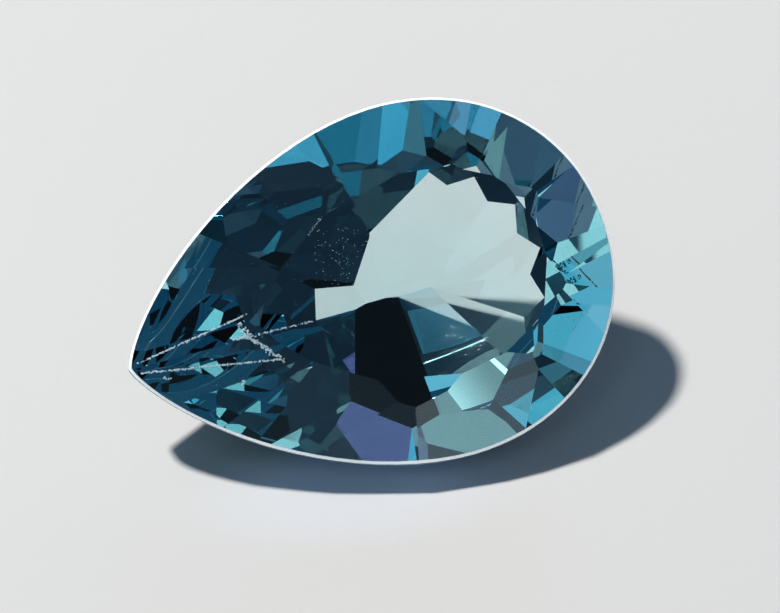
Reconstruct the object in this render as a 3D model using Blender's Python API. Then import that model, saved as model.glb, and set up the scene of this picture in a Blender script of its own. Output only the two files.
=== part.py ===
"""A pear-shaped faceted gemstone in blue topaz, lying on one of its lower facets.

The stone is one closed solid. It starts as an upright pear-shaped block and is then cut by
flat planes, as a lapidary cuts it: the table, the crown facets, and two tiers of pavilion
facets below the girdle. Last, it is laid down on one of its culet facets, so that the table
leans towards -Y.

In the stone's own frame X runs along the pear's axis towards the round head, Y goes across
it, and Z is the table's normal. The girdle's middle plane is Z = 0, and the widest section
is X = 0. An azimuth is measured in degrees from the head, and a facet angle is measured in
degrees from the girdle plane.
"""
import math

import bmesh
import bpy
from mathutils import Matrix, Vector

# Outline, in metres
STONE_WIDTH = 0.01019
TIP_LENGTH = 0.00858
HEAD_LENGTH = 0.00542
HEAD_FULLNESS = 2.1
SIDE_POWER = 1.767
SIDE_ROOT = 0.769
GIRDLE_SIDES = 96

# Heights, in metres: the crown's from the girdle's top edge, the culet's from its middle plane
GIRDLE_THICKNESS = 0.00028
CROWN_HEIGHT = 0.00093
CULET_DEPTH = 0.004135
BLOCK_MARGIN = 0.0010

# Crown, azimuths and angles in degrees
CROWN_AZIMUTHS = (0.0, 41.2, 81.3, 123.1, 180.0)
UPPER_GIRDLE_STEP = 2.15
STAR_ANGLE_RATIO = 0.612
STAR_TABLE_RATIO = 0.987

# The table's reach as a share of the outline's: round the head, at the belly and at the tip
HEAD_TABLE_RATIO = 0.647
BELLY_TABLE_RATIO = 0.566
TIP_TABLE_RATIO = 0.567
HEAD_TABLE_AZIMUTH = 45.0
BELLY_TABLE_AZIMUTH = 90.0

# Culet tier, one facet a step round from the head, azimuths and angles in degrees. The pair past
# the belly, the shoulders, and the pair along the tip, the keel, pass below the culet
FACET_STEP = 25.51
CULET_OFFSET = 0.000375
CULET_ANGLE = 33.67
KEEL_ANGLE = 35.0
HEAD_STEPS = 4
SHOULDER_DROP = 0.000383
KEEL_DROP = 0.000923

# Girdle tier, half a step round from the culet tier. Round the head each facet comes to a
# point, its tooth, this far from the culet's axis
TOOTH_REACH = 0.0028
TOOTH_STEPS = 3
BELLY_ANGLE = 42.72
FLANK_ANGLE = 42.21
TIP_AZIMUTH = 133.9
TIP_ANGLE = 39.42

# The stone lies on its -Y shoulder facet, which is cut deeper than the other shoulder, and the
# girdle tier's facets beside it are steeper, so that the foot is wide enough to stand on
RESTING_CUT = 0.000105
RESTING_SIDE_STEP = 4.5

# A corner this near a plane counts as lying on it, and corners this close are one
CUT_TOLERANCE = 1.0e-7
MERGE_DISTANCE = 2.0e-6


def heading(azimuth):
    """Return the unit vector in the girdle plane at an azimuth in degrees."""
    turn = math.radians(azimuth)
    return Vector((math.cos(turn), math.sin(turn), 0.0))


def both_sides(azimuths):
    """Return the azimuths with their mirror images across the pear's axis, in order round it."""
    turns = set()
    for azimuth in azimuths:
        turns.add(azimuth % 360.0)
        turns.add(-azimuth % 360.0)
    return sorted(turns)


def head_point(turn):
    """Return a point of the round head, a superellipse, at a turn in radians."""
    across = math.cos(turn)
    along = math.sin(turn)
    size = (across ** HEAD_FULLNESS + along ** HEAD_FULLNESS) ** (-1.0 / HEAD_FULLNESS)
    return Vector((HEAD_LENGTH * across * size, 0.5 * STONE_WIDTH * along * size, 0.0))


def side_point(turn):
    """Return a point of the side that runs from the belly to the tip, at a turn in radians."""
    along = -math.cos(turn)
    width = 0.5 * STONE_WIDTH * max(0.0, 1.0 - along ** SIDE_POWER) ** SIDE_ROOT
    return Vector((-TIP_LENGTH * along, width, 0.0))


def pear_outline():
    """Return the girdle's outline as points, anticlockwise from the head."""
    half = GIRDLE_SIDES // 2
    upper = []
    for step in range(half + 1):
        turn = math.pi * step / half
        if 2 * step <= half:
            upper.append(head_point(turn))
        else:
            upper.append(side_point(turn))
    lower = [Vector((point.x, -point.y, 0.0)) for point in reversed(upper[1:-1])]
    return upper + lower


def reach(outline, azimuth):
    """Return how far the outline reaches from the axis origin at an azimuth."""
    direction = heading(azimuth)
    return max(point.dot(direction) for point in outline)


def pear_block(outline):
    """Return the uncut block's facets: the outline raised straight up past table and culet."""
    top = 0.5 * GIRDLE_THICKNESS + CROWN_HEIGHT + BLOCK_MARGIN
    base = -CULET_DEPTH - BLOCK_MARGIN
    upper = [(point.x, point.y, top) for point in outline]
    lower = [(point.x, point.y, base) for point in outline]
    facets = [upper, list(reversed(lower))]
    for index in range(len(outline)):
        following = (index + 1) % len(outline)
        facets.append([lower[index], lower[following], upper[following], upper[index]])
    return facets


def height_over(point, plane_point, normal):
    """Return how far a point lies on the outer side of a plane."""
    return sum((point[axis] - plane_point[axis]) * normal[axis] for axis in range(3))


def crossing(start, end, start_height, end_height):
    """Return the point where an edge passes through the plane."""
    share = start_height / (start_height - end_height)
    return tuple(start[axis] + share * (end[axis] - start[axis]) for axis in range(3))


def trimmed(facet, plane_point, normal):
    """Return what a cut leaves of a facet, and the facet's corners that lie on the cut."""
    heights = [height_over(corner, plane_point, normal) for corner in facet]
    kept = []
    rim = []
    for index, corner in enumerate(facet):
        following = (index + 1) % len(facet)
        height = heights[index]
        next_height = heights[following]
        if height <= CUT_TOLERANCE:
            kept.append(corner)
            if height >= -CUT_TOLERANCE:
                rim.append(corner)
        if min(height, next_height) < -CUT_TOLERANCE and max(height, next_height) > CUT_TOLERANCE:
            point = crossing(corner, facet[following], height, next_height)
            kept.append(point)
            rim.append(point)
    if min(heights) >= -CUT_TOLERANCE:
        return [], rim
    return kept, rim


def same_place(first, second):
    """Tell whether two points lie within the merging distance of each other."""
    return all(abs(first[axis] - second[axis]) < MERGE_DISTANCE for axis in range(3))


def new_facet(rim, normal):
    """Return the flat facet that closes a cut, its corners in order round the normal."""
    corners = []
    for point in rim:
        if not any(same_place(point, corner) for corner in corners):
            corners.append(point)
    centre = [sum(corner[axis] for corner in corners) / len(corners) for axis in range(3)]
    across = normal.orthogonal().normalized()
    along = normal.cross(across)

    def turn(corner):
        arm = Vector([corner[axis] - centre[axis] for axis in range(3)])
        return math.atan2(arm.dot(along), arm.dot(across))

    return sorted(corners, key=turn)


def cut(facets, point, normal):
    """Cut the stone flat through a point, on the normal's side, and return its facets."""
    remaining = []
    rim = []
    for facet in facets:
        kept, touching = trimmed(facet, point, normal)
        rim.extend(touching)
        if len(kept) > 2:
            remaining.append(kept)
    closing = new_facet(rim, normal) if rim else []
    if len(closing) > 2:
        remaining.append(closing)
    return remaining


def rim_point(outline, azimuth, height):
    """Return the point at a height where the outline reaches furthest at an azimuth."""
    return heading(azimuth) * reach(outline, azimuth) + Vector((0.0, 0.0, height))


def crown_normal(azimuth, angle):
    """Return the outward normal of a crown facet."""
    slope = math.radians(angle)
    return heading(azimuth) * math.sin(slope) + Vector((0.0, 0.0, math.cos(slope)))


def pavilion_normal(azimuth, angle):
    """Return the outward normal of a pavilion facet."""
    slope = math.radians(angle)
    return heading(azimuth) * math.sin(slope) - Vector((0.0, 0.0, math.cos(slope)))


def resting_normal():
    """Return the outward normal of the facet that the stone lies on."""
    return pavilion_normal(-FACET_STEP * HEAD_STEPS, CULET_ANGLE)


def table_ratio(azimuth):
    """Return the table's reach at an azimuth as a share of the outline's."""
    side = min(azimuth % 360.0, -azimuth % 360.0)
    if side < BELLY_TABLE_AZIMUTH:
        run = BELLY_TABLE_AZIMUTH - HEAD_TABLE_AZIMUTH
        share = max(0.0, side - HEAD_TABLE_AZIMUTH) / run
        return HEAD_TABLE_RATIO + share * (BELLY_TABLE_RATIO - HEAD_TABLE_RATIO)
    share = (side - BELLY_TABLE_AZIMUTH) / (180.0 - BELLY_TABLE_AZIMUTH)
    return BELLY_TABLE_RATIO + share * (TIP_TABLE_RATIO - BELLY_TABLE_RATIO)


def crown_angle(outline, azimuth):
    """Return the angle that joins the girdle's top edge to the table's edge at an azimuth."""
    run = reach(outline, azimuth) * (1.0 - table_ratio(azimuth))
    return math.degrees(math.atan(CROWN_HEIGHT / run))


def cut_crown(facets, outline):
    """Cut the table, the main facets, the pairs of girdle facets and the stars."""
    girdle_top = 0.5 * GIRDLE_THICKNESS
    table_height = girdle_top + CROWN_HEIGHT
    facets = cut(facets, Vector((0.0, 0.0, table_height)), Vector((0.0, 0.0, 1.0)))
    mains = both_sides(CROWN_AZIMUTHS)
    for index, azimuth in enumerate(mains):
        angle = crown_angle(outline, azimuth)
        facets = cut(facets, rim_point(outline, azimuth, girdle_top), crown_normal(azimuth, angle))
        following = mains[(index + 1) % len(mains)]
        gap = (following - azimuth) % 360.0
        middle = azimuth + 0.5 * gap
        middle_angle = crown_angle(outline, middle)
        for share in (0.25, 0.75):
            turn = azimuth + share * gap
            normal = crown_normal(turn, middle_angle + UPPER_GIRDLE_STEP)
            facets = cut(facets, rim_point(outline, turn, girdle_top), normal)
        star_reach = reach(outline, middle) * table_ratio(middle) * STAR_TABLE_RATIO
        star_edge = heading(middle) * star_reach + Vector((0.0, 0.0, table_height))
        facets = cut(facets, star_edge, crown_normal(middle, middle_angle * STAR_ANGLE_RATIO))
    return facets


def culet_tier():
    """Return the culet tier's facets on one side, as azimuth, angle and depth on the culet's axis."""
    rows = [(FACET_STEP * step, CULET_ANGLE, CULET_DEPTH) for step in range(HEAD_STEPS)]
    shoulder = FACET_STEP * HEAD_STEPS
    rows.append((shoulder, CULET_ANGLE, CULET_DEPTH + SHOULDER_DROP))
    rows.append((shoulder + FACET_STEP, KEEL_ANGLE, CULET_DEPTH + KEEL_DROP))
    return rows


def tooth_angle(outline, azimuth):
    """Return the angle that takes a facet from the girdle's edge to its tooth."""
    ridge_slope = math.tan(math.radians(CULET_ANGLE)) * math.cos(math.radians(0.5 * FACET_STEP))
    rise = CULET_DEPTH - TOOTH_REACH * ridge_slope - 0.5 * GIRDLE_THICKNESS
    from_axis = CULET_OFFSET * math.cos(math.radians(azimuth)) + TOOTH_REACH
    return math.degrees(math.atan(rise / (reach(outline, azimuth) - from_axis)))


def girdle_tier(outline):
    """Return the girdle tier's facets on one side, as azimuth, angle and extra angle at -Y."""
    rows = []
    for step in range(TOOTH_STEPS):
        azimuth = FACET_STEP * (step + 0.5)
        rows.append((azimuth, tooth_angle(outline, azimuth), 0.0))
    rows.append((FACET_STEP * (TOOTH_STEPS + 0.5), BELLY_ANGLE, RESTING_SIDE_STEP))
    rows.append((FACET_STEP * (TOOTH_STEPS + 1.5), FLANK_ANGLE, RESTING_SIDE_STEP))
    rows.append((TIP_AZIMUTH, TIP_ANGLE, 0.0))
    return rows


def cut_pavilion(facets, outline):
    """Cut the steep tier below the girdle and the flatter tier that meets round the culet."""
    girdle_base = -0.5 * GIRDLE_THICKNESS
    for azimuth, angle, extra_angle in girdle_tier(outline):
        far_normal = pavilion_normal(azimuth, angle)
        near_normal = pavilion_normal(-azimuth, angle + extra_angle)
        facets = cut(facets, rim_point(outline, azimuth, girdle_base), far_normal)
        facets = cut(facets, rim_point(outline, -azimuth, girdle_base), near_normal)
    for azimuth, angle, depth in culet_tier():
        for turn in sorted({azimuth, -azimuth}):
            axis_point = Vector((CULET_OFFSET, 0.0, -depth))
            facets = cut(facets, axis_point, pavilion_normal(turn, angle))
    resting_point = Vector((CULET_OFFSET, 0.0, RESTING_CUT - SHOULDER_DROP - CULET_DEPTH))
    return cut(facets, resting_point, resting_normal())


def joined(facets):
    """Return the stone's corners, each only once, and its facets as rows of corner numbers."""
    corners = []
    rows = []
    for facet in facets:
        row = []
        for point in facet:
            matches = [index for index, corner in enumerate(corners) if same_place(point, corner)]
            if not matches:
                matches = [len(corners)]
                corners.append(point)
            if matches[0] not in row:
                row.append(matches[0])
        if len(row) > 2:
            rows.append(row)
    return corners, rows


def resting_pose(corners):
    """Return the turn and shift that lay the stone on its resting facet, table towards -Y."""
    lay = resting_normal().rotation_difference(Vector((0.0, 0.0, -1.0))).to_matrix().to_4x4()
    table = lay @ Vector((0.0, 0.0, 1.0))
    face_front = Matrix.Rotation(-0.5 * math.pi - math.atan2(table.y, table.x), 4, "Z")
    turned = face_front @ lay
    places = [turned @ Vector(corner) for corner in corners]
    low = [min(place[axis] for place in places) for axis in range(3)]
    high = [max(place[axis] for place in places) for axis in range(3)]
    shift = Vector((-0.5 * (low[0] + high[0]), -0.5 * (low[1] + high[1]), -low[2]))
    return Matrix.Translation(shift) @ turned


def blue_topaz():
    """Return the stone's material, a clear pale-blue glass."""
    material = bpy.data.materials.new("blue_topaz")
    material.use_nodes = True
    shader = material.node_tree.nodes["Principled BSDF"]
    shader.inputs["Base Color"].default_value = (0.10, 0.46, 0.62, 1.0)
    shader.inputs["Roughness"].default_value = 0.02
    shader.inputs["Metallic"].default_value = 0.0
    shader.inputs["IOR"].default_value = 1.62
    shader.inputs["Transmission Weight"].default_value = 1.0
    return material


def cut_stone():
    """Cut the stone and return it as one object, lying as it rests."""
    outline = pear_outline()
    facets = cut_crown(pear_block(outline), outline)
    facets = cut_pavilion(facets, outline)
    corners, rows = joined(facets)
    mesh = bpy.data.meshes.new("cut_stone")
    mesh.from_pydata(corners, [], rows)
    bm = bmesh.new()
    bm.from_mesh(mesh)
    bmesh.ops.recalc_face_normals(bm, faces=bm.faces[:])
    bm.to_mesh(mesh)
    bm.free()
    mesh.materials.append(blue_topaz())
    stone = bpy.data.objects.new("cut_stone", mesh)
    stone.matrix_world = resting_pose(corners)
    bpy.context.collection.objects.link(stone)
    return stone


def main():
    """Clear the scene and make the stone."""
    for old in list(bpy.data.objects):
        bpy.data.objects.remove(old, do_unlink=True)
    cut_stone()


main()
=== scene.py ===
"""A pear-cut blue topaz lying on pale paper: its finish, its wear, the light and the camera.

Every length is in metres, unless a name says otherwise. A place that was read from the
photograph is a pixel of its 780 x 613 frame, in a named value, and is carried onto the
stone along the camera's own line of sight.
"""
from __future__ import annotations

import logging
import math
import random
from dataclasses import dataclass, field
from enum import Enum

import bmesh
import bpy
from mathutils import Matrix, Vector
from mathutils.bvhtree import BVHTree


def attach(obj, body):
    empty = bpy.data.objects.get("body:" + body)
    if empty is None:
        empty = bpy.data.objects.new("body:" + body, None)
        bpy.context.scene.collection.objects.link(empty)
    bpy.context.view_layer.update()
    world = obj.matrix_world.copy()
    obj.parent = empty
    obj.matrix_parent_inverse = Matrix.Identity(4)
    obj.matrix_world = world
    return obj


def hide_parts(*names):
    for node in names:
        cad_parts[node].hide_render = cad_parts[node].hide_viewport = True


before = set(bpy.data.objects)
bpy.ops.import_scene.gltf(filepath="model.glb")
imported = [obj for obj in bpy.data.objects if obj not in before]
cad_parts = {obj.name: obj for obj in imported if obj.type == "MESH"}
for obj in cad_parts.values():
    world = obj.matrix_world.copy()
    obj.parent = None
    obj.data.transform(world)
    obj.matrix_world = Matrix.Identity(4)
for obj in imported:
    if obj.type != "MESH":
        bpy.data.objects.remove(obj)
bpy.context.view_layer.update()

LOG = logging.getLogger("topaz")
BODY = "root"
NODE = "cut_stone"
TOPAZ_INDEX = 1.62

Colour = tuple[float, float, float]
Pixel = tuple[float, float]
Range = tuple[float, float]


class Arithmetic(Enum):
    """The Math node operations that expressions on signals use."""

    ADD = "ADD"
    MULTIPLY = "MULTIPLY"


class VectorArithmetic(Enum):
    """The Vector Math node operations that colours and places use."""

    ADD = "ADD"
    SUBTRACT = "SUBTRACT"
    DIVIDE = "DIVIDE"
    SCALE = "SCALE"
    LENGTH = "LENGTH"
    DOT_PRODUCT = "DOT_PRODUCT"


class Signal:
    """A shader socket on which arithmetic can be written."""

    def __init__(self, sheet: "ShaderSheet", socket: bpy.types.NodeSocket) -> None:
        """Wrap a socket.

        Args:
            sheet: The sheet that holds the socket's node.
            socket: The output socket to wrap.
        """
        self.sheet = sheet
        self.socket = socket

    def _join(self, operation: Arithmetic, first: object, second: object) -> "Signal":
        """Add one Math node.

        Args:
            operation: What the node does.
            first: Its first value or signal.
            second: Its second value or signal.

        Returns:
            The node's result.
        """
        node = self.sheet.add("ShaderNodeMath", {"operation": operation.value}, {0: first, 1: second})
        return Signal(self.sheet, node.outputs[0])

    def __add__(self, other: object) -> "Signal":
        """Return self + other."""
        return self._join(Arithmetic.ADD, self, other)

    def __radd__(self, other: object) -> "Signal":
        """Return other + self."""
        return self._join(Arithmetic.ADD, other, self)

    def __mul__(self, other: object) -> "Signal":
        """Return self * other."""
        return self._join(Arithmetic.MULTIPLY, self, other)

    def __rmul__(self, other: object) -> "Signal":
        """Return other * self."""
        return self._join(Arithmetic.MULTIPLY, other, self)


class ShaderSheet:
    """The node sheet of one material or world, and the one method that adds nodes to it."""

    def __init__(self, owner: bpy.types.Material | bpy.types.World) -> None:
        """Empty the owner's node tree.

        Args:
            owner: The material or world whose nodes this sheet makes.
        """
        owner.use_nodes = True
        self.tree = owner.node_tree
        self.tree.nodes.clear()

    def add(self, kind: str, settings: dict | None = None, sockets: dict | None = None) -> bpy.types.Node:
        """Add one node.

        Args:
            kind: The node's type, such as ShaderNodeMath.
            settings: Node properties, set first.
            sockets: Input values or links, by socket name or number.

        Returns:
            The new node.
        """
        node = self.tree.nodes.new(kind)
        for name, value in (settings or {}).items():
            setattr(node, name, value)
        for name, value in (sockets or {}).items():
            target = self._pick(node.inputs, name)
            if isinstance(value, Signal):
                self.tree.links.new(value.socket, target)
            else:
                target.default_value = value
        return node

    def signal(
        self,
        kind: str,
        settings: dict | None = None,
        sockets: dict | None = None,
        output: int | str = 0,
    ) -> Signal:
        """Add one node and return one of its outputs as a signal.

        Args:
            kind: The node's type.
            settings: Node properties.
            sockets: Input values or links.
            output: The output's name or number.

        Returns:
            The output, wrapped.
        """
        return Signal(self, self._pick(self.add(kind, settings, sockets).outputs, output))

    def vector(self, operation: VectorArithmetic, sockets: dict, output: int | str = 0) -> Signal:
        """Return the result of one Vector Math node."""
        return self.signal("ShaderNodeVectorMath", {"operation": operation.value}, sockets, output)

    def mixed(self, share: Signal, first: object, second: object) -> Signal:
        """Return a colour between two colours.

        Args:
            share: How much of the second colour there is.
            first: The first colour.
            second: The second colour.

        Returns:
            The mixed colour.
        """
        sockets = {"Factor": share, "A": first, "B": second}
        return self.signal("ShaderNodeMix", {"data_type": "RGBA"}, sockets, "Result")

    def noise(self, place: Signal, grain_size: float, detail: float) -> Signal:
        """Return a noise that varies over a surface.

        Args:
            place: The place on the surface.
            grain_size: The size of its largest grains in metres.
            detail: How many finer layers it has.

        Returns:
            The noise, from 0 to 1.
        """
        sockets = {"Vector": place, "Scale": 1.0 / grain_size, "Detail": detail}
        return self.signal("ShaderNodeTexNoise", {}, sockets)

    def faded(self, value: Signal, nothing_at: float, full_at: float) -> Signal:
        """Return a smooth share of a value's way from where it counts for nothing to where it is full.

        Args:
            value: The value.
            nothing_at: The value at which the share is 0.
            full_at: The value at which the share is 1.

        Returns:
            The share.
        """
        sockets = {"Value": value, "From Min": nothing_at, "From Max": full_at}
        return self.signal("ShaderNodeMapRange", {"interpolation_type": "SMOOTHSTEP"}, sockets, "Result")

    @staticmethod
    def _pick(sockets: bpy.types.bpy_prop_collection, name: int | str) -> bpy.types.NodeSocket:
        """Find one socket of a node.

        Args:
            sockets: The node's inputs or outputs.
            name: The socket's number, or its name.

        Returns:
            The socket with that number, or the one in use that has that name.
        """
        if isinstance(name, int):
            return sockets[name]
        return next(socket for socket in sockets if socket.name == name and socket.enabled)


def opaque(colour: Colour) -> tuple[float, float, float, float]:
    """Return a colour with full alpha."""
    return (*colour, 1.0)


@dataclass(frozen=True)
class TopazFinish:
    """Clear blue topaz: polished facets, a ground girdle, and absorption through the body."""

    name: str = "blue_topaz_clear"
    refractive_index: float = TOPAZ_INDEX
    absorption_per_metre: float = 72.0
    body_colour: Colour = (0.02, 0.862, 0.951)
    ground_roughness: float = 0.45

    def material(self) -> bpy.types.Material:
        """Make the material.

        Returns:
            A glass surface with volume absorption.
        """
        material = bpy.data.materials.new(self.name)
        sheet = ShaderSheet(material)
        ground = sheet.signal("ShaderNodeAttribute", {"attribute_name": "ground"}, output="Fac")
        surface = sheet.signal(
            "ShaderNodeBsdfPrincipled",
            {},
            {
                "Base Color": (1.0, 1.0, 1.0, 1.0),
                "Transmission Weight": 1.0,
                "IOR": self.refractive_index,
                "Roughness": ground * self.ground_roughness,
            },
        )
        volume = sheet.signal(
            "ShaderNodeVolumeAbsorption",
            {},
            {"Color": opaque(self.body_colour), "Density": self.absorption_per_metre},
        )
        sheet.add("ShaderNodeOutputMaterial", {}, {"Surface": surface, "Volume": volume})
        return material


@dataclass(frozen=True)
class ChipFinish:
    """Broken topaz along the worn edges and dry dust: white and dull."""

    name: str = "chipped_edge"
    refractive_index: float = TOPAZ_INDEX
    pale: Colour = (0.88, 0.98, 1.0)
    dull: Colour = (0.32, 0.56, 0.68)
    grain_size: float = 0.00006
    grain_detail: float = 3.0
    least_roughness: float = 0.55
    roughness_range: float = 0.3

    def material(self) -> bpy.types.Material:
        """Make the material.

        Returns:
            A rough surface with pale and dull grains.
        """
        material = bpy.data.materials.new(self.name)
        sheet = ShaderSheet(material)
        place = sheet.signal("ShaderNodeNewGeometry", output="Position")
        grain = sheet.noise(place, self.grain_size, self.grain_detail)
        surface = sheet.signal(
            "ShaderNodeBsdfPrincipled",
            {},
            {
                "Base Color": sheet.mixed(grain, opaque(self.dull), opaque(self.pale)),
                "Roughness": self.least_roughness + self.roughness_range * grain,
                "IOR": self.refractive_index,
            },
        )
        sheet.add("ShaderNodeOutputMaterial", {}, {"Surface": surface})
        return material


@dataclass(frozen=True)
class GroundFinish:
    """The girdle's ground rim: finely frosted topaz, with a glowing painted highlight on its upper lip
    and painted shade on its inner face.
    """

    name: str = "ground_girdle"
    frosted: Colour = (0.44, 0.58, 0.64)
    shade: Colour = (0.26, 0.40, 0.47)
    # The lip's white and its glow are a painted highlight.
    painted_lip_highlight: Colour = (0.97, 1.0, 1.0)
    painted_lip_glow: Colour = (0.29, 0.32, 0.33)
    # The inner face's black and its blue glow are painted shade and painted light.
    painted_inner_shade: Colour = (0.0, 0.0, 0.0)
    painted_inner_glow: Colour = (0.010, 0.050, 0.095)
    grain_size: float = 0.00020
    grain_detail: float = 3.0
    roughness: float = 0.6

    def material(self) -> bpy.types.Material:
        """Make the material.

        Returns:
            A frosted surface, with a glowing painted highlight on the lip, and painted shade with a faint
            painted blue glow on the inner face that the stone looks at from inside.
        """
        material = bpy.data.materials.new(self.name)
        sheet = ShaderSheet(material)
        place = sheet.signal("ShaderNodeNewGeometry", output="Position")
        lip = sheet.signal("ShaderNodeAttribute", {"attribute_name": "lip_face"}, output="Fac")
        inner = sheet.signal("ShaderNodeAttribute", {"attribute_name": "inner_face"}, output="Fac")
        grain = sheet.noise(place, self.grain_size, self.grain_detail)
        band = sheet.mixed(grain, opaque(self.shade), opaque(self.frosted))
        # Painted highlight: the lip is white and glows, so that the rim's upper edge shows bright.
        outside = sheet.mixed(lip, band, opaque(self.painted_lip_highlight))
        lip_glow = sheet.vector(VectorArithmetic.SCALE, {0: self.painted_lip_glow, "Scale": lip})
        # Painted shade and painted light: the inner face is black with a faint blue glow, so the stone
        # looks deep blue where it sees the rim from inside.
        inner_glow = sheet.vector(VectorArithmetic.SCALE, {0: self.painted_inner_glow, "Scale": inner})
        surface = sheet.signal(
            "ShaderNodeBsdfPrincipled",
            {},
            {
                "Base Color": sheet.mixed(inner, outside, opaque(self.painted_inner_shade)),
                "Roughness": self.roughness,
                "Emission Color": sheet.vector(VectorArithmetic.ADD, {0: lip_glow, 1: inner_glow}),
                "Emission Strength": 1.0,
            },
        )
        sheet.add("ShaderNodeOutputMaterial", {}, {"Surface": surface})
        return material


@dataclass(frozen=True)
class PaperFinish:
    """Smooth pale paper with a faint tooth, a painted blue pool of light beside the stone where its
    shadow falls, and a faint even painted fill light.
    """

    name: str = "pale_paper"
    colour: Colour = (0.80, 0.775, 0.735)
    roughness: float = 0.9
    tooth_size: float = 0.0007
    tooth_depth: float = 0.00002
    tooth_detail: float = 4.0
    tooth_strength: float = 0.4
    # Painted light: an even fill glow over the sheet, and a blue glow in an oval beside the stone.
    painted_fill_light: Colour = (0.004, 0.006, 0.008)
    painted_glow_colour: Colour = (0.022, 0.042, 0.082)
    painted_glow_centre: tuple[float, float, float] = (-0.0010, -0.0046, 0.0)
    painted_glow_reach: tuple[float, float, float] = (0.0062, 0.0024, 0.001)
    painted_glow_edge: float = 1.0
    painted_glow_core: float = 0.3

    def material(self) -> bpy.types.Material:
        """Make the material.

        Returns:
            A matt surface with a fine bump, the painted blue pool of light and the painted fill light.
        """
        material = bpy.data.materials.new(self.name)
        sheet = ShaderSheet(material)
        place = sheet.signal("ShaderNodeNewGeometry", output="Position")
        tooth = sheet.noise(place, self.tooth_size, self.tooth_detail)
        bump = sheet.signal(
            "ShaderNodeBump",
            {},
            {"Height": tooth, "Distance": self.tooth_depth, "Strength": self.tooth_strength},
        )
        # Painted light: a blue glow in an oval beside the stone, where its shadow falls, lifts and tints
        # the shadow.
        from_centre = sheet.vector(VectorArithmetic.SUBTRACT, {0: place, 1: self.painted_glow_centre})
        arm = sheet.vector(VectorArithmetic.DIVIDE, {0: from_centre, 1: self.painted_glow_reach})
        distance = sheet.vector(VectorArithmetic.LENGTH, {0: arm}, "Value")
        share = sheet.faded(distance, self.painted_glow_edge, self.painted_glow_core)
        glow = sheet.vector(VectorArithmetic.SCALE, {0: self.painted_glow_colour, "Scale": share})
        surface = sheet.signal(
            "ShaderNodeBsdfPrincipled",
            {},
            {
                "Base Color": opaque(self.colour),
                "Roughness": self.roughness,
                "Normal": bump,
                "Emission Color": sheet.vector(VectorArithmetic.ADD, {0: glow, 1: self.painted_fill_light}),
                "Emission Strength": 1.0,
            },
        )
        sheet.add("ShaderNodeOutputMaterial", {}, {"Surface": surface})
        return material


def mesh_of(name: str, bm: bmesh.types.BMesh) -> bpy.types.Mesh:
    """Turn an edited mesh into mesh data.

    Args:
        name: The mesh's name.
        bm: The edited mesh, which is freed.

    Returns:
        The mesh data.
    """
    mesh = bpy.data.meshes.new(name)
    bm.to_mesh(mesh)
    bm.free()
    return mesh


def placed(name: str, data: bpy.types.ID) -> bpy.types.Object:
    """Put a new object in the scene.

    Args:
        name: The object's name.
        data: Its mesh, lamp or camera.

    Returns:
        The object.
    """
    made = bpy.data.objects.new(name, data)
    bpy.context.scene.collection.objects.link(made)
    return made


@dataclass
class Stone:
    """The cut stone: the frame's solid with each facet as one flat face."""

    merge_distance: float = 1.0e-7
    flat_limit_degrees: float = 0.4
    upward_limit: float = 0.2
    ground_limit: float = 0.03
    table_normal: Vector = field(default_factory=Vector)
    mesh: bpy.types.Mesh | None = None

    def build(self) -> bpy.types.Object:
        """Make the visible stone in place of the frame's node.

        Returns:
            The stone's object.
        """
        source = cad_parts[NODE]
        bm = bmesh.new()
        bm.from_mesh(source.data)
        bmesh.ops.remove_doubles(bm, verts=bm.verts[:], dist=self.merge_distance)
        bmesh.ops.dissolve_limit(
            bm,
            angle_limit=math.radians(self.flat_limit_degrees),
            verts=bm.verts[:],
            edges=bm.edges[:],
        )
        bm.normal_update()
        upward = [face for face in bm.faces if face.normal.z > self.upward_limit]
        table = max(upward, key=lambda face: face.calc_area())
        self.table_normal = table.normal.copy()
        ground = bm.faces.layers.float.new("ground")
        for face in bm.faces:
            on_girdle = abs(face.normal.dot(self.table_normal)) < self.ground_limit
            face[ground] = 1.0 if on_girdle else 0.0
        self.mesh = mesh_of("cut_stone_clear", bm)
        stone = placed("cut_stone_clear", self.mesh)
        self.mesh.materials.append(TopazFinish().material())
        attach(stone, BODY)
        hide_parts(NODE)
        return stone


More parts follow.
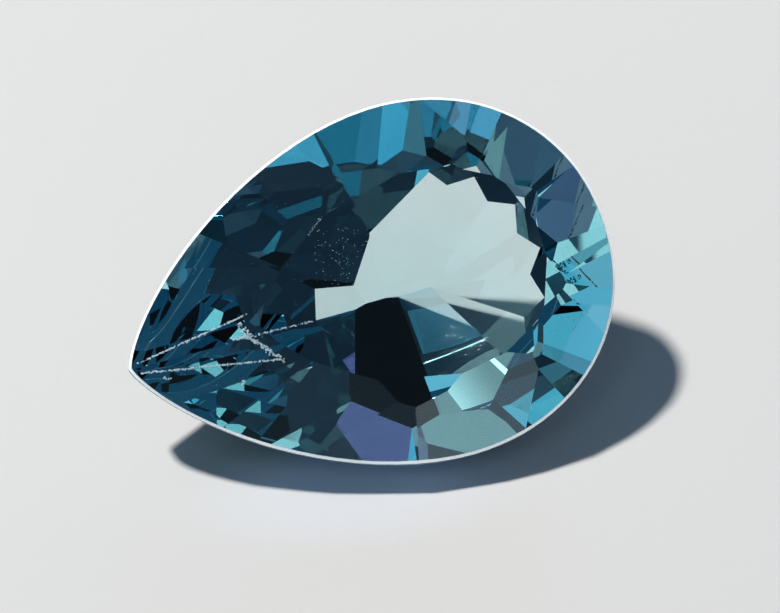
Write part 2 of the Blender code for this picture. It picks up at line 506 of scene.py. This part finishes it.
@dataclass
class GirdleRim:
    """The ground rim round the girdle, a thin closed band that stands just proud of the stone, with a
    painted highlight on its lip and painted shade on its inner face.
    """

    stone: Stone
    proud: float = 0.000070
    sink: float = 0.000010
    chamfer_share: float = 0.6
    upright_limit: float = 0.97
    same_corner: float = 1.0e-6

    def build(self) -> bpy.types.Object:
        """Make the rim from the stone's girdle facets.

        Returns:
            The rim's object.
        """
        top, base = self._edges()
        axis = self.stone.table_normal
        middle = sum(top + base, Vector()) / (len(top) + len(base))
        rows = []
        for upper, lower in zip(top, base):
            centre = 0.5 * (upper + lower)
            half = 0.5 * (upper - lower)
            arm = centre - middle
            outward = (arm - axis * arm.dot(axis)).normalized()
            rows.append((
                centre + half - outward * self.sink,
                centre + self.chamfer_share * half + outward * self.proud,
                centre - self.chamfer_share * half + outward * self.proud,
                centre - half - outward * self.sink,
            ))
        bm = bmesh.new()
        inner_face = bm.faces.layers.float.new("inner_face")
        lip_face = bm.faces.layers.float.new("lip_face")
        rings = [[bm.verts.new(point) for point in row] for row in rows]
        for index, ring in enumerate(rings):
            following = rings[(index + 1) % len(rings)]
            for step in range(len(ring)):
                after = (step + 1) % len(ring)
                side = bm.faces.new((ring[step], ring[after], following[after], following[step]))
                # The inner face takes painted shade and a faint painted blue glow, and the lip a glowing
                # painted highlight.
                side[inner_face] = 1.0 if after == 0 else 0.0
                side[lip_face] = 1.0 if step == 0 else 0.0
        bmesh.ops.recalc_face_normals(bm, faces=bm.faces[:])
        mesh = mesh_of("girdle_rim", bm)
        rim = placed("girdle_rim", mesh)
        mesh.materials.append(GroundFinish().material())
        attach(rim, BODY)
        return rim

    def _edges(self) -> tuple[list[Vector], list[Vector]]:
        """Read the girdle's corners from the stone.

        Returns:
            Its upper and its lower corners, in matching order round the stone.
        """
        axis = self.stone.table_normal
        mesh = self.stone.mesh
        upright = []
        for polygon, ground in zip(mesh.polygons, mesh.attributes["ground"].data):
            if not ground.value:
                continue
            corners = [mesh.vertices[index].co for index in polygon.vertices]
            for start, end in zip(corners, corners[1:] + corners[:1]):
                if abs((end - start).normalized().dot(axis)) > self.upright_limit:
                    pair = (end, start) if (end - start).dot(axis) > 0.0 else (start, end)
                    upright.append(pair)
        middle = sum((pair[0] for pair in upright), Vector()) / len(upright)
        across = axis.orthogonal().normalized()
        along = axis.cross(across)

        def turn(pair: tuple[Vector, Vector]) -> float:
            """Return how far round the stone a pair of corners stands, in radians."""
            arm = pair[0] - middle
            return math.atan2(arm.dot(along), arm.dot(across))

        top = []
        base = []
        for upper, lower in sorted(upright, key=turn):
            if not top or (upper - top[-1]).length > self.same_corner:
                top.append(upper.copy())
                base.append(lower.copy())
        if (top[0] - top[-1]).length < self.same_corner:
            top.pop()
            base.pop()
        return top, base


@dataclass
class PaperSheet:
    """The sheet that the stone lies on, which isn't part of the object."""

    half_width: float = 0.6

    def build(self) -> bpy.types.Object:
        """Make the sheet at the level of the stone's resting facet.

        Returns:
            The sheet's object.
        """
        side = self.half_width
        mesh = bpy.data.meshes.new("paper")
        corners = [(-side, -side, 0.0), (side, -side, 0.0), (side, side, 0.0), (-side, side, 0.0)]
        mesh.from_pydata(corners, [], [(0, 1, 2, 3)])
        paper = placed("paper", mesh)
        mesh.materials.append(PaperFinish().material())
        return paper


@dataclass(frozen=True)
class Panel:
    """A soft round patch of light in the room, seen from the stone."""

    azimuth_degrees: float
    elevation_degrees: float
    radius_degrees: float
    colour: Colour
    inner_share: float = 0.8
    outer_share: float = 1.15

    def direction(self) -> Vector:
        """Work out where the panel is.

        Returns:
            The unit vector from the stone to the panel.
        """
        azimuth = math.radians(self.azimuth_degrees)
        elevation = math.radians(self.elevation_degrees)
        level = Vector((math.cos(azimuth), math.sin(azimuth), 0.0))
        return level * math.cos(elevation) + Vector((0.0, 0.0, math.sin(elevation)))

    def light(self, sheet: ShaderSheet, way: Signal) -> Signal:
        """Return the panel's light in a direction.

        Args:
            sheet: The world's node sheet.
            way: The direction that a ray leaves in.

        Returns:
            The panel's colour inside it, fading to nothing at its edge.
        """
        inner = math.cos(math.radians(self.radius_degrees * self.inner_share))
        outer = math.cos(math.radians(self.radius_degrees * self.outer_share))
        facing = sheet.vector(VectorArithmetic.DOT_PRODUCT, {0: way, 1: tuple(self.direction())}, "Value")
        share = sheet.faded(facing, outer, inner)
        return sheet.vector(VectorArithmetic.SCALE, {0: self.colour, "Scale": share})


@dataclass
class StudioLight:
    """One soft lamp behind the stone on the left, in a dark room with soft round panels of light.

    The lamp's direction and the panels come from a numeric fit of the stone's ray trace to the
    photograph. The panels' brightness and a few of their places were then set one by one.
    """

    lamp_direction: Vector = field(default_factory=lambda: Vector((-0.438, 0.450, 1.0)))
    lamp_distance: float = 0.5
    lamp_size: float = 0.045
    lamp_power: float = 2.5
    room_colour: Colour = (0.014, 0.020, 0.032)
    panels: tuple[Panel, ...] = (
        Panel(108.0, 6.0, 13.0, (0.22, 1.75, 2.60)),
        Panel(74.0, 17.0, 8.0, (0.24, 2.00, 2.90)),
        Panel(60.0, 6.0, 30.0, (0.46, 0.43, 0.65)),
        Panel(80.0, 54.0, 13.0, (0.17, 0.18, 0.30)),
        Panel(140.0, 54.0, 8.0, (0.12, 0.24, 0.33)),
        Panel(173.0, 47.0, 10.0, (0.15, 0.12, 0.16)),
        Panel(180.0, 31.0, 8.0, (0.21, 0.16, 0.22)),
        Panel(200.0, 72.0, 13.0, (0.03, 0.07, 0.11)),
        Panel(230.0, 71.0, 8.0, (0.07, 0.30, 0.43)),
        Panel(222.0, 31.0, 8.0, (0.06, 0.14, 0.18)),
        Panel(247.0, 22.0, 9.0, (0.13, 0.43, 0.55)),
        Panel(254.0, 6.0, 9.0, (0.22, 0.38, 0.45)),
        Panel(240.0, 46.0, 20.0, (0.025, 0.030, 0.040)),
        Panel(240.0, 59.0, 8.0, (0.20, 0.23, 0.22)),
        Panel(234.0, 57.0, 2.5, (1.50, 1.60, 1.55)),
        Panel(188.0, 41.0, 4.0, (0.07, 0.07, 0.14)),
        Panel(307.0, 59.0, 8.0, (0.12, 0.07, 0.21)),
        Panel(273.0, 11.0, 20.0, (0.16, 0.26, 0.37)),
        Panel(286.0, 11.0, 8.0, (0.80, 1.05, 1.08)),
    )

    def build(self) -> None:
        """Make the lamp and the room's own light."""
        data = bpy.data.lights.new("lamp", "AREA")
        data.shape = "DISK"
        data.size = self.lamp_size
        data.energy = self.lamp_power
        lamp = placed("lamp", data)
        direction = self.lamp_direction.normalized()
        lamp.location = direction * self.lamp_distance
        lamp.rotation_euler = direction.to_track_quat("Z", "Y").to_euler()
        world = bpy.data.worlds.new("room")
        bpy.context.scene.world = world
        sheet = ShaderSheet(world)
        way = sheet.signal("ShaderNodeTexCoord", output="Generated")
        light: Signal | Colour = self.room_colour
        for panel in self.panels:
            light = sheet.vector(VectorArithmetic.ADD, {0: panel.light(sheet, way), 1: light})
        background = sheet.signal("ShaderNodeBackground", {}, {"Color": light, "Strength": 1.0})
        sheet.add("ShaderNodeOutputWorld", {}, {"Surface": background})


@dataclass
class Viewpoint:
    """The camera: the photograph's viewing angle, framed so that the stone fills the same place.

    The three angles come from the same numeric fit as the lamp's direction.
    """

    elevation_degrees: float = 48.9
    turn_degrees: float = 5.0
    roll_degrees: float = -1.2
    distance: float = 0.25
    picture_width: float = 780.0
    picture_height: float = 613.0
    stone_left: float = 131.0
    stone_right: float = 613.0
    stone_top: float = 99.0
    stone_bottom: float = 464.0
    sensor_width: float = 36.0
    first_lens: float = 380.0
    nearest: float = 0.01
    farthest: float = 5.0
    rounds: int = 6
    position: Vector = field(default_factory=Vector)
    right: Vector = field(default_factory=Vector)
    up: Vector = field(default_factory=Vector)
    back: Vector = field(default_factory=Vector)
    scale: float = 1.0

    def build(self) -> bpy.types.Object:
        """Make the camera and turn it on the stone.

        Returns:
            The camera.
        """
        data = bpy.data.cameras.new("camera")
        data.sensor_fit = "HORIZONTAL"
        data.sensor_width = self.sensor_width
        data.clip_start = self.nearest
        data.clip_end = self.farthest
        data.lens = self.first_lens
        camera = placed("camera", data)
        bpy.context.scene.camera = camera
        self._aim()
        camera.rotation_euler = Matrix((self.right, self.up, self.back)).transposed().to_euler()
        points = [vertex.co.copy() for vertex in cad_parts[NODE].data.vertices]
        centre = sum(points, Vector()) / len(points)
        self.position = centre + self.back * self.distance
        for _ in range(self.rounds):
            self.scale = data.lens / self.sensor_width * self.picture_width
            places = [self.pixel(point) for point in points]
            across = [place[0] for place in places]
            down = [place[1] for place in places]
            data.lens *= (self.stone_right - self.stone_left) / (max(across) - min(across))
            metres_per_pixel = self.distance / self.scale
            off_right = 0.5 * (max(across) + min(across) - self.stone_right - self.stone_left)
            off_down = 0.5 * (max(down) + min(down) - self.stone_top - self.stone_bottom)
            self.position += (self.right * off_right - self.up * off_down) * metres_per_pixel
        self.scale = data.lens / self.sensor_width * self.picture_width
        LOG.info("stone spans %.1f..%.1f, %.1f..%.1f px", min(across), max(across), min(down), max(down))
        camera.location = self.position
        return camera

    def _aim(self) -> None:
        """Work out the camera's right, up and back directions."""
        elevation = math.radians(self.elevation_degrees)
        turn = math.radians(self.turn_degrees)
        level = Vector((math.sin(turn), math.cos(turn), 0.0))
        self.back = -level * math.cos(elevation) + Vector((0.0, 0.0, math.sin(elevation)))
        level_right = Vector((math.cos(turn), -math.sin(turn), 0.0))
        self.right = Matrix.Rotation(math.radians(self.roll_degrees), 3, self.back) @ level_right
        self.up = self.back.cross(self.right)

    def pixel(self, point: Vector) -> Pixel:
        """Find where a point shows.

        Args:
            point: The point.

        Returns:
            Its pixel in the photograph's frame.
        """
        arm = point - self.position
        depth = -arm.dot(self.back)
        across = 0.5 * self.picture_width + self.scale * arm.dot(self.right) / depth
        return across, 0.5 * self.picture_height - self.scale * arm.dot(self.up) / depth

    def sight(self, place: Pixel) -> Vector:
        """Find the camera's line of sight through a pixel.

        Args:
            place: The pixel.

        Returns:
            The line's unit vector, away from the camera.
        """
        across = (place[0] - 0.5 * self.picture_width) / self.scale
        upward = (0.5 * self.picture_height - place[1]) / self.scale
        return (self.right * across + self.up * upward - self.back).normalized()


@dataclass(frozen=True)
class WornEdge:
    """A line of chips, as it shows in the photograph.

    The path is in pixels, and so is the spread of the chips across it.
    """

    path: tuple[Pixel, ...]
    spread: float
    size_share: float
    chips_per_pixel: float


@dataclass
class Wear:
    """What use has left on the crown: chipped edges towards the tip, a scratch and dry dust.

    A size range is a share of chip_size, and a width or height range is a share of one chip's size.
    """

    view: Viewpoint
    seed: int = 11
    chip_size: float = 0.000040
    lift: float = 0.52
    keel_share: float = 0.5
    corner_count: int = 5
    corner_range: Range = (0.7, 1.0)
    width_range: Range = (0.35, 0.8)
    height_range: Range = (0.25, 0.5)
    edge_sizes: Range = (0.3, 1.2)
    dust_sizes: Range = (0.15, 0.5)
    loose_dust_sizes: Range = (0.15, 0.35)
    upper_tip_edge: WornEdge = WornEdge(((137.0, 364.0), (247.0, 314.5)), 0.35, 1.0, 1.7)
    lower_tip_edge: WornEdge = WornEdge(((140.0, 373.5), (284.0, 359.0)), 0.35, 1.0, 1.7)
    side_edge: WornEdge = WornEdge(((258.0, 334.5), (314.0, 321.0)), 0.40, 0.9, 1.2)
    broken_edge: WornEdge = WornEdge(
        ((239.5, 324.0), (243.0, 331.0), (254.0, 340.0), (263.0, 347.0), (285.0, 361.0)), 1.5, 1.2, 2.2
    )
    broken_branch: WornEdge = WornEdge(((231.5, 339.0), (256.0, 336.0)), 1.0, 1.1, 2.0)
    # Two short lines of pale specks, made with the chips' finish.
    lower_white_specks: WornEdge = WornEdge(((242.5, 380.0), (244.0, 385.0)), 0.8, 1.3, 3.0)
    tip_white_specks: WornEdge = WornEdge(((164.0, 378.0), (171.0, 379.0)), 0.6, 1.0, 2.0)
    scratch: WornEdge = WornEdge(((322.0, 217.0), (307.0, 236.0)), 0.5, 0.5, 0.9)
    dust_field: tuple[float, float, float, float] = (315.0, 228.0, 368.0, 292.0)
    dust_count: int = 120
    loose_dust_count: int = 70

    def build(self, stone: bpy.types.Object) -> bpy.types.Object:
        """Make the wear as one mesh of small chips that stand on the stone's surface.

        Args:
            stone: The visible stone.

        Returns:
            The wear's object.
        """
        chance = random.Random(self.seed)
        tree = BVHTree.FromPolygons(
            [vertex.co for vertex in stone.data.vertices],
            [tuple(polygon.vertices) for polygon in stone.data.polygons],
        )
        bm = bmesh.new()
        for edge in self._marks():
            self._chip_along(bm, tree, chance, edge)
        view = self.view
        whole = (view.stone_left, view.stone_top, view.stone_right, view.stone_bottom)
        self._dust(bm, tree, chance, self.dust_field, self.dust_count, self.dust_sizes)
        self._dust(bm, tree, chance, whole, self.loose_dust_count, self.loose_dust_sizes)
        mesh = mesh_of("edge_wear", bm)
        wear = placed("edge_wear", mesh)
        mesh.materials.append(ChipFinish().material())
        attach(wear, BODY)
        return wear

    def _marks(self) -> tuple[WornEdge, ...]:
        """Return the lines of chips in the order in which they are made.

        Returns:
            The worn edges, the white specks and the scratch.
        """
        return (
            self.upper_tip_edge,
            self.lower_tip_edge,
            self.side_edge,
            self.broken_edge,
            self.broken_branch,
            self.lower_white_specks,
            self.tip_white_specks,
            self.scratch,
        )

    def _dust(
        self,
        bm: bmesh.types.BMesh,
        tree: BVHTree,
        chance: random.Random,
        area: tuple[float, float, float, float],
        count: int,
        sizes: Range,
    ) -> None:
        """Scatter specks of dust over a part of the picture.

        Args:
            bm: The mesh that gets the specks.
            tree: The stone's surface.
            chance: The random numbers.
            area: The part's left, top, right and bottom, in pixels.
            count: How many specks are tried.
            sizes: Their least and greatest share of the chip size.
        """
        left, top, right, bottom = area
        for _ in range(count):
            place = (chance.uniform(left, right), chance.uniform(top, bottom))
            self._chip(bm, tree, chance, place, chance.uniform(*sizes) * self.chip_size)

    def _chip_along(
        self,
        bm: bmesh.types.BMesh,
        tree: BVHTree,
        chance: random.Random,
        edge: WornEdge,
    ) -> None:
        """Scatter chips along a worn edge.

        Args:
            bm: The mesh that gets the chips.
            tree: The stone's surface.
            chance: The random numbers.
            edge: The worn edge.
        """
        for start, end in zip(edge.path, edge.path[1:]):
            length = math.dist(start, end)
            for _ in range(int(length * edge.chips_per_pixel)):
                share = chance.random()
                place = (
                    start[0] + share * (end[0] - start[0]) + chance.gauss(0.0, edge.spread),
                    start[1] + share * (end[1] - start[1]) + chance.gauss(0.0, edge.spread),
                )
                size = self.chip_size * edge.size_share * chance.uniform(*self.edge_sizes)
                self._chip(bm, tree, chance, place, size)

    def _chip(
        self,
        bm: bmesh.types.BMesh,
        tree: BVHTree,
        chance: random.Random,
        place: Pixel,
        size: float,
    ) -> None:
        """Set one chip on the surface that shows at a pixel.

        Args:
            bm: The mesh that gets the chip.
            tree: The stone's surface.
            chance: The random numbers.
            place: The pixel.
            size: The chip's half length in metres.
        """
        point, normal, _, _ = tree.ray_cast(self.view.position, self.view.sight(place))
        if point is None:
            return
        across = normal.orthogonal().normalized()
        across = Matrix.Rotation(chance.uniform(0.0, math.tau), 3, normal) @ across
        along = normal.cross(across)
        width = size * chance.uniform(*self.width_range)
        height = size * chance.uniform(*self.height_range)
        base = point + normal * height * self.lift
        ring = [
            base + across * (size * chance.uniform(*self.corner_range) * math.cos(turn))
            + along * (width * chance.uniform(*self.corner_range) * math.sin(turn))
            for turn in (math.tau * step / self.corner_count for step in range(self.corner_count))
        ]
        low = bm.verts.new(base - normal * height * self.keel_share)
        high = bm.verts.new(base + normal * height)
        corners = [bm.verts.new(corner) for corner in ring]
        for index, corner in enumerate(corners):
            following = corners[(index + 1) % len(corners)]
            bm.faces.new((high, corner, following))
            bm.faces.new((low, following, corner))


def set_light_paths() -> None:
    """Follow light for a few bounces only, without the light that the stone would focus."""
    cycles = bpy.context.scene.cycles
    cycles.max_bounces = 8
    cycles.transmission_bounces = 32
    cycles.glossy_bounces = 16
    cycles.caustics_reflective = False
    cycles.caustics_refractive = False
    cycles.sample_clamp_indirect = 0.0
    cycles.blur_glossy = 0.0
    view = bpy.context.scene.view_settings
    view.view_transform = "Standard"
    view.look = "None"


def main() -> None:
    """Build the stone, its rim and wear, the paper and the light, in order, and report each piece."""
    logging.basicConfig(level=logging.INFO, format="%(name)s: %(message)s")
    set_light_paths()
    view = Viewpoint()
    view.build()
    stone = Stone()
    body = stone.build()
    rim = GirdleRim(stone).build()
    wear = Wear(view).build(body)
    paper = PaperSheet().build()
    StudioLight().build()
    for piece in (body, rim, wear, paper):
        LOG.info("%s: %d faces", piece.name, len(piece.data.polygons))


if __name__ == "__main__":
    main()
